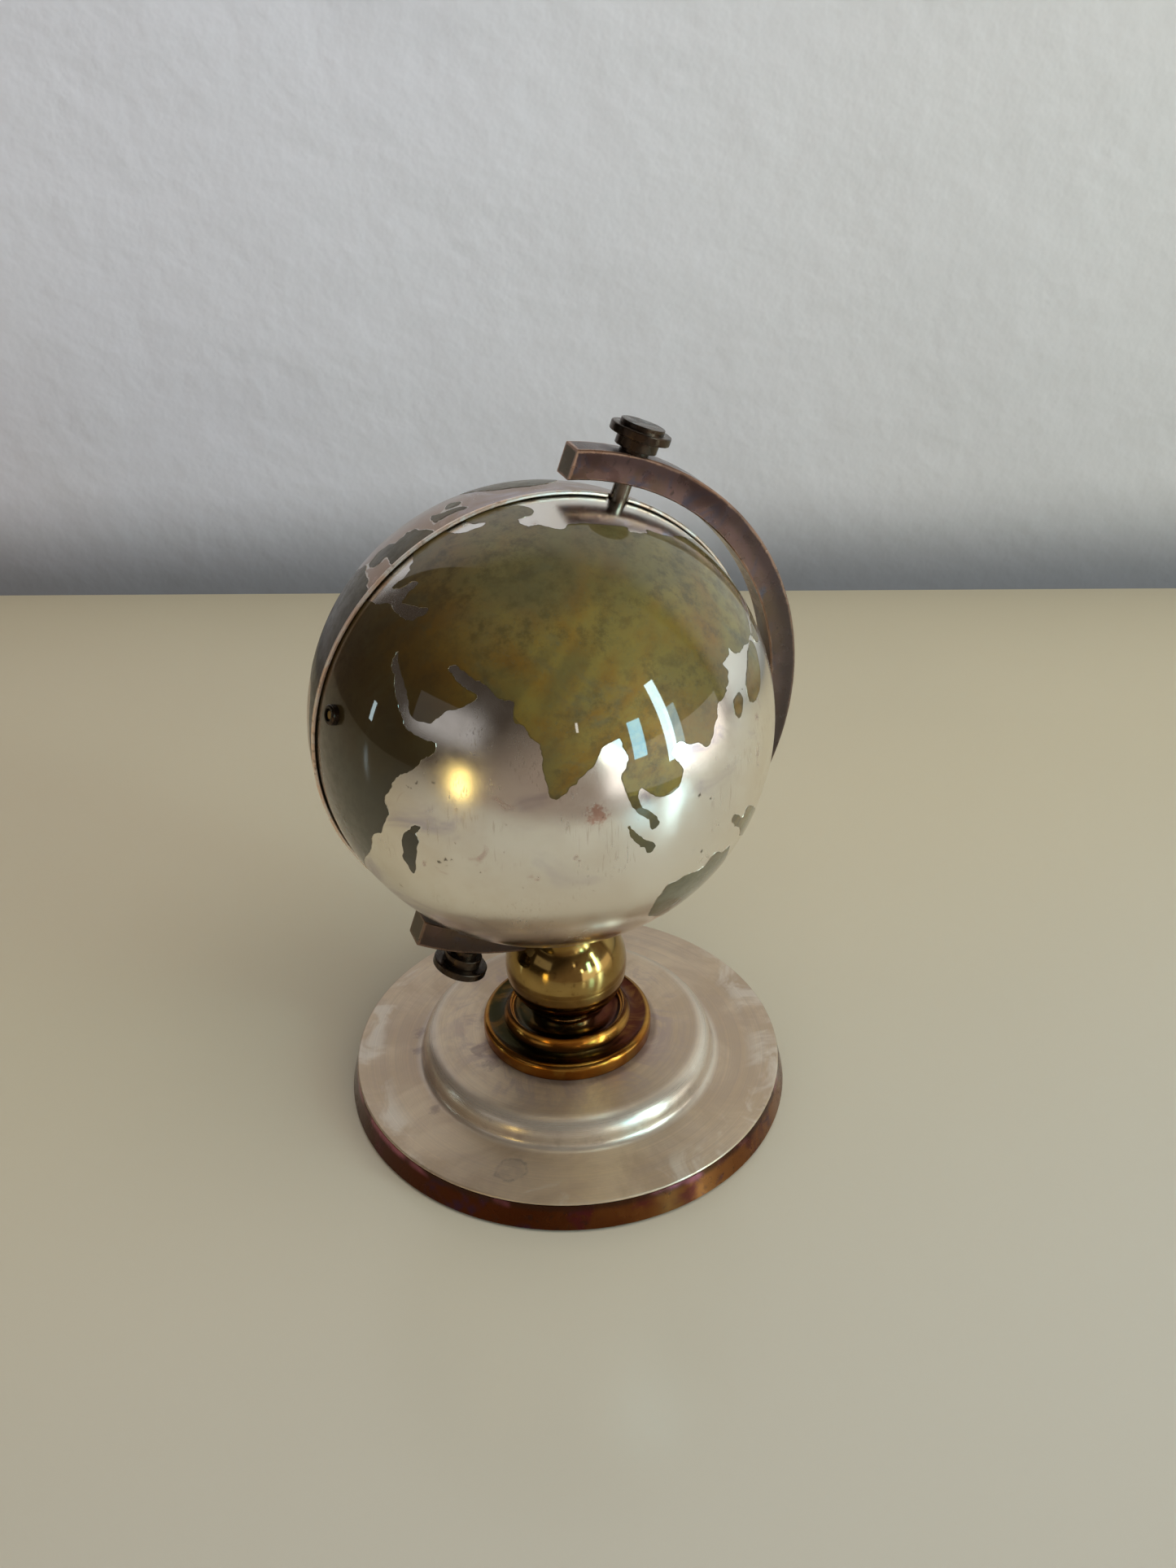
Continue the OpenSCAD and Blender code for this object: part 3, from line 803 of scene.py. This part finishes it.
# Dark stains on the silvered base: x, y and radius
PLATE_STAINS = [
    (-32.9 * MM, 18.3 * MM, 0.6 * MM), (-35.4 * MM, 12.5 * MM, 0.7 * MM),
    (-37.4 * MM, -9.2 * MM, 0.3 * MM), (-23.4 * MM, -0.6 * MM, 1.2 * MM),
    (-22.4 * MM, -6.4 * MM, 0.8 * MM), (34.3 * MM, -39.5 * MM, 0.2 * MM),
]


def ring_mark(f):
    """The dried drop's mark as a mask: a thin ring, faintly filled."""
    out = f.shaken(f.from_axis(*RING_MARK_AT), 6 * MM, 200, 3)
    line = f.ramp(f.gap(out, RING_MARK_R), 0.0, 0.9 * MM, (0.55, 0.0))
    filled = f.ramp(out, RING_MARK_R - 0.6 * MM, RING_MARK_R, (0.22, 0.0))
    patchy = f.ramp(f.noise(420, 3), 0.36, 0.56, (0.35, 1.0))
    return f.math("MULTIPLY", f.math("MAXIMUM", line, filled), patchy)


def base_silver():
    """Satin silvered cover, turned on a lathe, with lavender and rose stains near the stem."""
    f = Finish("base_silver")
    clean, rose, lavender = (0.77, 0.61, 0.43), (0.60, 0.45, 0.305), (0.50, 0.38, 0.34)
    cloud = f.noise(42, 5, 0.62, warp=0.9)
    colour = f.mix(f.ramp(cloud, 0.38, 0.64), clean, rose)
    r = f.from_axis()
    wear = f.math("MULTIPLY", f.lathe_marks(0.9 * MM), f.ramp(f.noise(26, 4, 0.6), 0.3, 0.6))
    colour = f.mix(f.ramp(wear, 0.36, 0.62, (0.0, 0.42)), colour, (0.47, 0.36, 0.28))
    crest = f.ramp(f.gap(r, CREST_R), 1.0 * MM, 3.6 * MM, (1.0, 0.0))
    rubbed = f.math("MULTIPLY", crest, f.ramp(f.noise(38, 4, 0.6), 0.30, 0.50, (0.45, 1.0)))
    colour = f.mix(f.math("MULTIPLY", rubbed, 0.8), colour, (0.88, 0.78, 0.66))
    near = f.ramp(r, STEM_FOOT_R - 1 * MM, STEM_FOOT_R + 13 * MM, (1.0, 0.15))
    stain = f.math("MULTIPLY", f.ramp(f.noise(85, 4, 0.65, warp=1.6), 0.43, 0.62), near)
    colour = f.mix(f.math("MULTIPLY", stain, 0.9), colour, lavender)
    bright = f.ramp(f.noise(65, 4, 0.65, warp=1.0), 0.52, 0.66)
    bright = f.math("MULTIPLY", f.ramp(r, BRIGHT_R, BRIGHT_R + 5 * MM), bright)
    colour = f.mix(f.math("MULTIPLY", bright, 0.55), colour, (0.90, 0.83, 0.72))
    foot = f.ramp(f.gap(r, STEM_FOOT_R), 0.2 * MM, 1.6 * MM, (0.7, 0.0))
    colour = f.mix(f.math("MULTIPLY", foot, f.ramp(cloud, 0.3, 0.6)), colour, (0.20, 0.13, 0.11))
    colour = f.mix(ring_mark(f), colour, (0.30, 0.24, 0.21))
    for x, y, size in PLATE_STAINS:
        far = f.shaken(f.from_axis(x, y), 7 * MM, 260, 4, 0.7)
        dark = f.ramp(far, size + 3.6 * MM, size + 5.0 * MM, (0.5, 0.0))
        colour = f.mix(dark, colour, (0.25, 0.18, 0.18))
    wiped = f.ramp(f.gap(r, STEP_FOOT_R), 0.2 * MM, 1.2 * MM, (0.8, 0.0))
    wiped = f.math("MULTIPLY", wiped, f.ramp(f.noise(75, 4, 0.7), 0.50, 0.64))
    colour = f.mix(f.math("MULTIPLY", wiped, 0.6), colour, (0.38, 0.29, 0.24))
    marks = f.lathe_marks(0.16 * MM)
    colour = f.mix(f.ramp(marks, 0.3, 0.8, (0.0, 0.35)), colour, (0.42, 0.36, 0.31))
    lines = f.math("MAXIMUM", f.scratches((90, 0, 30)), f.scratches((90, 0, -50)))
    rough = f.ramp(f.math("ADD", marks, f.math("MULTIPLY", stain, 0.2)), 0.25, 0.8, (0.36, 0.50))
    rough = f.math("SUBTRACT", rough, f.math("MULTIPLY", crest, 0.12))
    round_z = f.node("Tangent", direction_type="RADIAL", axis="Z").outputs[0]
    f.set(Base_Color=colour, Metallic=0.80, Roughness=rough)
    f.set(Anisotropic=0.45, Anisotropic_Rotation=0.25, Tangent=round_z)
    f.bump(f.math("ADD", marks, f.math("MULTIPLY", lines, -0.5)), 0.2, 0.03 * MM)
    return f.material


def base_copper():
    """The copper rim, heat-toned in spots to magenta and violet, painted lighter orange towards the
    right where the light falls, and darker at the top edge with spots of painted magenta highlight.
    """
    f = Finish("base_copper")
    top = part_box("base_cover")[0].z
    copper, magenta = (0.085, 0.022, 0.007), (0.11, 0.020, 0.024)
    violet, orange = (0.06, 0.024, 0.05), (0.25, 0.092, 0.026)
    # Painted light: the rim is painted lighter and orange towards the right, where the light falls,
    # and dark copper towards the left.
    across = f.vector("DOT_PRODUCT", f.place, (1.0, -0.3, 0.0))
    across = f.shaken(across, 60 * MM, 34, 4, 0.6, warp=1.2)
    colour = f.mix(f.ramp(across, 10 * MM, 62 * MM), copper, orange)
    colour = f.mix(f.ramp(f.noise(52, 4, 0.6, warp=1.6), 0.50, 0.66, (0.0, 0.85)), colour, magenta)
    colour = f.mix(f.ramp(f.noise(70, 3, 0.6, warp=1.6), 0.58, 0.70, (0.0, 0.8)), colour, violet)
    # The top edge is painted darker, with spots of painted magenta highlight.
    shade = f.mix(f.ramp(f.noise(45, 3, 0.6), 0.52, 0.62), (0.05, 0.024, 0.016), (0.50, 0.16, 0.24))
    colour = f.mix(f.ramp(f.height(), top - 1.9 * MM, top - 0.5 * MM, (0.0, 0.75)), colour, shade)
    colour = f.mix(f.ramp(f.noise(500, 3), 0.60, 0.72, (0.0, 0.6)), colour, (0.05, 0.025, 0.02))
    f.set(Base_Color=colour, Metallic=1.0, Roughness=f.ramp(f.noise(120, 4), 0.35, 0.65, (0.16, 0.32)))
    f.bump(f.noise(420, 5, 0.65), 0.2)
    return f.material


def green_felt():
    """Dark green felt under the base, with a matted fibre pile."""
    f = Finish("green_felt")
    pile = f.noise(2600, 4, 0.75, warp=2.0)
    colour = f.mix(f.ramp(pile, 0.3, 0.7), (0.014, 0.030, 0.016), (0.045, 0.075, 0.040))
    f.set(Base_Color=colour, Roughness=0.95, Sheen_Weight=0.6, Sheen_Roughness=0.5)
    f.bump(pile, 0.8, 0.15 * MM)
    return f.material


def zinc_steel():
    """Zinc-plated steel of the hidden screw and washers."""
    f = Finish("zinc_steel")
    grain = f.noise(380, 4, 0.6)
    colour = f.mix(f.ramp(grain, 0.4, 0.65), (0.55, 0.54, 0.51), (0.36, 0.35, 0.33))
    f.set(Base_Color=colour, Metallic=1.0, Roughness=f.ramp(grain, 0.3, 0.7, (0.25, 0.4)))
    f.bump(grain, 0.15)
    return f.material


def finish_cad_nodes():
    """Gives each CAD node that stays its finish."""
    steel, brass, knob, pin = zinc_steel(), raw_brass(), knob_bronze(), pin_steel()
    rim = rim_copper()
    finishes = {
        "felt_pad": green_felt(), "base_disc": base_copper(), "base_cover": base_silver(),
        "tie_washer": steel, "tie_screw": steel, "stem_collar": collar_brass(),
        "neck_ring": ring_brass(), "stem_ball": ball_brass(), "meridian_arm": arm_bronze(),
        "upper_knob": knob, "lower_knob": knob, "upper_pin": pin, "lower_pin": pin,
        "rim_left": rim, "rim_right": rim, "upper_lug": brass, "lower_lug": brass,
        "upper_washer": steel, "lower_washer": steel, "thumb_button": knob, "button_rivet": brass,
    }
    for name, finish in finishes.items():
        for slot in frame["nodes"][name].material_slots:
            slot.material = finish


def make_shells():
    """The two half shells of the globe, with their lands."""
    sea = silver_sea("silver_sea", clean=(0.96, 0.92, 0.855), warm=(0.86, 0.79, 0.70), tarnish=0.02)
    old_sea = silver_sea("silver_sea_toned", (0.375, 0.265, 0.195), (0.30, 0.20, 0.14), 0.10)
    land = etched_land("etched_land", coat=1.0, tone=1.0)
    old_land = etched_land("etched_land_old", coat=0.35, tone=0.6)
    step, inner = etched_step(), raw_brass("shell_inside")
    holes = [ring(HOLE_R, FRONT_R, end)[:-1] for end in (1, -1)]
    front = half_shell("globe_front", -SIDE, FRONT_R, front_edge(), holes, FRONT_LANDS,
                       FRONT_SEAS, [land, sea, inner, step])
    rear = half_shell("globe_rear", SIDE, REAR_R, rear_edge(), [], REAR_LANDS, [],
                      [old_land, old_sea, inner, step])
    halves = ((front, "front_half", "front_shell"), (rear, "rear_half", "rear_shell"))
    for piece, body, node in halves:
        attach(piece, body)
        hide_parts(node)


# ---------------------------------------------------------------- camera, stage and light


def make_camera():
    """The camera, above the table's front edge and looking down at the globe."""
    place = Vector((-98, -258.1, 254.8)) * MM
    look = Vector((0.31812, 0.78774, -0.52752)).normalized()
    right = look.cross(Vector((0, 0, 1))).normalized()
    roll = Matrix.Rotation(math.radians(0.69), 3, look)
    right = roll @ right
    up = right.cross(look)
    data = bpy.data.cameras.new("camera")
    data.sensor_width = 36
    data.lens = 33.63
    data.clip_start, data.clip_end = 0.01, 20
    camera = bpy.data.objects.new("camera", data)
    turn = Matrix((right, up, -look)).transposed().to_4x4()
    camera.matrix_world = Matrix.Translation(place) @ turn
    SCENE.collection.objects.link(camera)
    SCENE.camera = camera


def stage_mesh(name, verts, faces, finish):
    mesh = bpy.data.meshes.new(name)
    mesh.from_pydata(verts, [], faces)
    mesh.materials.append(finish)
    mesh.update()
    made = bpy.data.objects.new(name, mesh)
    SCENE.collection.objects.link(made)
    return made


def floor_finish():
    """Cream glossy table top."""
    f = Finish("cream_top")
    cloud = f.noise(3.0, 3, 0.5)
    colour = f.mix(f.ramp(cloud, 0.35, 0.65), (0.52, 0.462, 0.328), (0.49, 0.437, 0.310))
    near = f.ramp(f.vector("DOT_PRODUCT", f.place, (0.0, 1.0, 0.0)), -0.16, 0.10, (1.0, 0.0))
    colour = f.mix(near, colour, (0.50, 0.475, 0.40))
    f.set(Base_Color=colour, Roughness=0.22, Specular_IOR_Level=0.5)
    return f.material


def wall_finish():
    """Pale grey plaster with soft trowel bumps, seen from the front only, painted darker near the
    table as shade and darker higher up.
    """
    f = Finish("plaster")
    lumps = f.math("ADD", f.noise(14, 4, 0.5), f.math("MULTIPLY", f.noise(90, 3, 0.5), 0.18))
    colour = f.mix(f.ramp(f.noise(5, 3), 0.35, 0.65), (0.655, 0.645, 0.72), (0.69, 0.68, 0.745))
    by_window = f.ramp(f.vector("DOT_PRODUCT", f.place, (1.0, 0.0, 0.0)), -0.05, 0.35)
    colour = f.mix(f.math("MULTIPLY", by_window, 0.9), colour, (0.65, 0.61, 0.59))
    # Painted shade: the wall is painted darker near the table top.
    colour = f.mix(f.ramp(f.height(), 0.0, 0.20, (0.22, 0.0)), colour, (0.17, 0.17, 0.19))
    colour = f.mix(f.ramp(f.height(), 0.0, 0.052, (0.92, 0.0)), colour, (0.15, 0.15, 0.165))
    # Darker higher up.
    colour = f.mix(f.ramp(f.height(), 0.36, 1.20), colour, (0.07, 0.06, 0.05))
    f.set(Base_Color=colour, Roughness=0.8, Specular_IOR_Level=0.2)
    f.bump(lumps, 0.6, 6 * MM)
    clear = f.node("BsdfTransparent")
    both = f.node("MixShader")
    f.put(both.inputs[0], f.node("NewGeometry").outputs["Backfacing"])
    f.put(both.inputs[1], f.shader.outputs[0])
    f.put(both.inputs[2], clear.outputs[0])
    f.put(f.tree.nodes["Material Output"].inputs["Surface"], both.outputs[0])
    return f.material


def make_table():
    """A wide table top. Reflections show only its middle, which ends in front of the globe."""
    half, near, back, far = 1.2, -0.31, 0.9, 4
    middle = [(-half, near, half, back)]
    front = [(-far, -far, far, near)]
    rest = [(-far, near, -half, far), (half, near, far, far), (-half, back, half, far)]
    for name, parts in (("table_top", middle), ("table_front", front), ("table_sides", rest)):
        verts = [v for a, b, c, d in parts for v in ((a, b, 0), (c, b, 0), (c, d, 0), (a, d, 0))]
        faces = [tuple(range(4 * i, 4 * i + 4)) for i in range(len(parts))]
        made = stage_mesh(name, verts, faces, floor_finish())
        made.visible_glossy = name == "table_top"


def make_wall():
    """A plaster wall behind the table. Reflections show only its right part."""
    foot, turn = Vector((0.1125, 0.2636, 0)), math.radians(-22.8)
    along = Vector((math.cos(turn), math.sin(turn), 0))
    up = Vector((0, 0, 2.2))
    left, join, right = -2.5, -0.4, 2.5
    plaster = wall_finish()
    for name, start, end in (("wall", join, right), ("wall_left", left, join)):
        a, b = foot + along * start, foot + along * end
        corners = [tuple(a), tuple(b), tuple(b + up), tuple(a + up)]
        part = stage_mesh(name, corners, [(0, 1, 2, 3)], plaster)
        part.visible_glossy = name == "wall"


def area_light(name, azimuth, elevation, distance, size, power, colour):
    """A soft rectangular light that faces the globe. Azimuth 0 is -Y and 90 is +X."""
    data = bpy.data.lights.new(name, "AREA")
    data.shape = "RECTANGLE"
    data.size, data.size_y = size
    data.energy, data.color = power, colour
    az, el = math.radians(azimuth), math.radians(elevation)
    way = Vector((math.sin(az) * math.cos(el), -math.cos(az) * math.cos(el), math.sin(el)))
    light = bpy.data.objects.new(name, data)
    light.location = GLOBE + way * distance
    light.rotation_mode = "QUATERNION"
    light.rotation_quaternion = way.to_track_quat("Z", "Y")
    light.visible_camera = False
    SCENE.collection.objects.link(light)
    return light


def make_lights():
    """A tall cool window at the right, a pale wall beside it, a soft ceiling and a small lamp."""
    area_light("window_left_pane", 24, 11, 1.3, (0.15, 0.38), 2.1, (0.32, 0.80, 1.0))
    area_light("window_right_pane", 40, 13, 1.3, (0.12, 0.80), 5.0, (0.66, 0.95, 1.0))
    area_light("window_low_pane", 44, 8, 1.3, (0.15, 0.42), 0.9, (0.45, 0.85, 1.0))
    area_light("far_window", 9, 9, 1.3, (0.07, 0.13), 0.26, (0.85, 1.0, 0.92))
    area_light("high_window", -4, 23, 1.3, (0.025, 0.10), 0.07, (1.0, 0.97, 0.9))
    area_light("window_bounce", 40, -2, 1.5, (1.9, 0.55), 3.4, (1.0, 0.97, 0.93))
    area_light("lamp", -58, -4.5, 0.9, (0.12, 0.17), 0.26, (1.0, 0.76, 0.25))
    area_light("left_wall", -69, 19, 1.6, (1.0, 0.44), 0.48, (0.95, 0.96, 1.0))
    area_light("side_window", -109, 5, 1.3, (0.05, 0.16), 0.15, (0.75, 0.95, 1.0))
    fills = (("ceiling", 60, 70, 17), ("room_fill", 10, 42, 12.5), ("back_fill", -110, 50, 5))
    for name, azimuth, elevation, power in fills:
        light = area_light(name, azimuth, elevation, 1.6, (1.9, 1.9), power, (1.0, 0.935, 0.88))
        light.visible_glossy = False


def make_world():
    """A dim warm room for reflections, and a pale backdrop for the camera."""
    world = bpy.data.worlds.new("room")
    world.use_nodes = True
    SCENE.world = world
    nodes, link = world.node_tree.nodes, world.node_tree.links.new
    backdrop = nodes.new("ShaderNodeBackground")
    backdrop.inputs["Color"].default_value = (0.50, 0.51, 0.52, 1)
    room = nodes["Background"]
    room.inputs["Strength"].default_value = 1.0
    level = nodes.new("ShaderNodeVectorMath")
    level.operation = "DOT_PRODUCT"
    level.inputs[1].default_value = (0.60, -0.30, -1.0)
    link(nodes.new("ShaderNodeTexCoord").outputs["Generated"], level.inputs[0])
    lift = nodes.new("ShaderNodeMath")
    lift.operation = "ADD"
    lift.inputs[1].default_value = 0.55
    link(level.outputs["Value"], lift.inputs[0])
    shade = nodes.new("ShaderNodeValToRGB")
    dark, pale = shade.color_ramp.elements
    dark.position, dark.color = 0.0, (0.040, 0.031, 0.024, 1)
    pale.position, pale.color = 0.5, (0.235, 0.185, 0.145, 1)
    link(lift.outputs[0], shade.inputs[0])
    link(shade.outputs[0], room.inputs["Color"])
    both = nodes.new("ShaderNodeMixShader")
    link(nodes.new("ShaderNodeLightPath").outputs["Is Camera Ray"], both.inputs[0])
    link(room.outputs[0], both.inputs[1])
    link(backdrop.outputs[0], both.inputs[2])
    link(both.outputs[0], nodes["World Output"].inputs["Surface"])


make_camera()
make_table()
make_wall()
make_lights()
make_world()
finish_cad_nodes()
make_shells()
SCENE.view_settings.view_transform = "Standard"
SCENE.cycles.use_denoising = True
